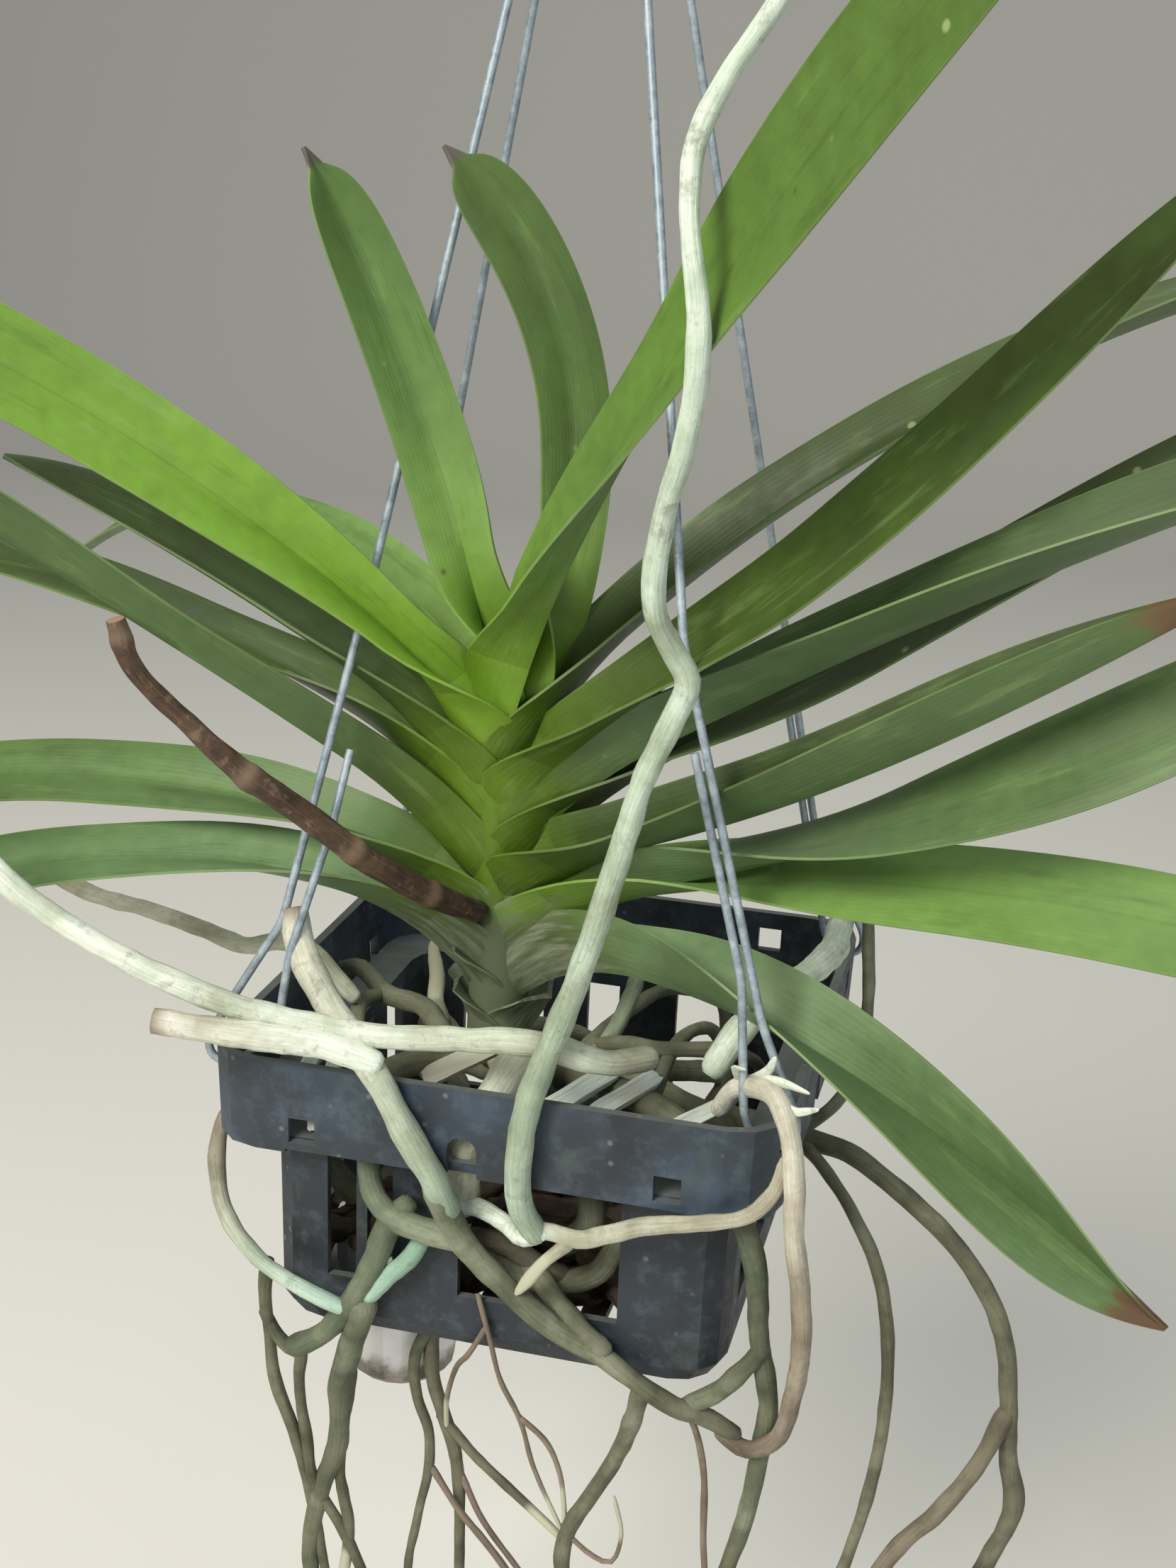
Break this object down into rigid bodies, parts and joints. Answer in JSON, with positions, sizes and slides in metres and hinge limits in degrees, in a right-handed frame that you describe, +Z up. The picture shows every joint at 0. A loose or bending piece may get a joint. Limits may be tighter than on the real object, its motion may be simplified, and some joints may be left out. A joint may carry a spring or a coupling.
{
  "type": "potted orchid",
  "caption": "Vanda orchid with strap leaves in two ranks and hanging aerial roots, in a square slatted basket on a wire hanger with a hook.",
  "frame": {"origin": "where the hook bears on the rail it hangs from", "axes": "+Z up, -Y towards the front of the basket, +X to its right"},
  "size_m": [0.492, 0.2653, 0.6344],
  "materials": {
    "basket_plastic": "matt, dusty moulded polypropylene",
    "cup_plastic": "white moulded plastic with a dirty foot",
    "hanger_steel": "dull galvanised wire",
    "stem_tissue": "living leaf bases, grey and dry towards the foot",
    "leaf_tissue": "waxy living leaf, satin",
    "dry_spike": "dry brown stalk",
    "pale_stick": "bleached, matt",
    "root_pale": "dry silvery velamen, matt",
    "root_old": "old grey-green velamen, matt",
    "root_pink": "brown-pink velamen, matt",
    "bark_wood": "weathered bark chunks"
  },
  "bodies": {
    "root": {"basket": "basket_plastic", "cup": "cup_plastic", "hanger_collar": "hanger_steel", "hanger_hook": "hanger_steel", "hanger_wire_front_left": "hanger_steel", "hanger_wire_front_right": "hanger_steel", "hanger_wire_back_left": "hanger_steel", "hanger_wire_back_right": "hanger_steel", "stem": "stem_tissue", "leaf_left_1": "leaf_tissue", "leaf_left_2": "leaf_tissue", "leaf_left_3": "leaf_tissue", "leaf_left_4": "leaf_tissue", "leaf_left_5": "leaf_tissue", "leaf_left_6": "leaf_tissue", "leaf_left_7": "leaf_tissue", "leaf_left_8": "leaf_tissue", "leaf_right_1": "leaf_tissue", "leaf_right_2": "leaf_tissue", "leaf_right_3": "leaf_tissue", "leaf_right_4": "leaf_tissue", "leaf_right_5": "leaf_tissue", "leaf_right_6": "leaf_tissue", "leaf_right_7": "leaf_tissue", "leaf_right_8": "leaf_tissue", "leaf_right_9": "leaf_tissue", "leaf_right_10": "leaf_tissue", "spike": "dry_spike", "stick_1": "pale_stick", "stick_2": "pale_stick", "stick_3": "pale_stick", "stick_4": "pale_stick", "stick_5": "pale_stick", "stick_6": "pale_stick", "roots_inner": "root_old", "root_front_pale": "root_pale", "root_left_loop": "root_pink", "root_corner": "root_pink", "root_front_net": "root_old", "root_front_white": "root_pale", "root_front_flat": "root_pale", "root_left_hanging": "root_old", "root_middle_hanging": "root_pink", "root_right_hanging": "root_old", "root_right_cut": "root_pale", "root_rear_reaching": "root_pink", "bark": "bark_wood"}
  },
  "joints": []
}
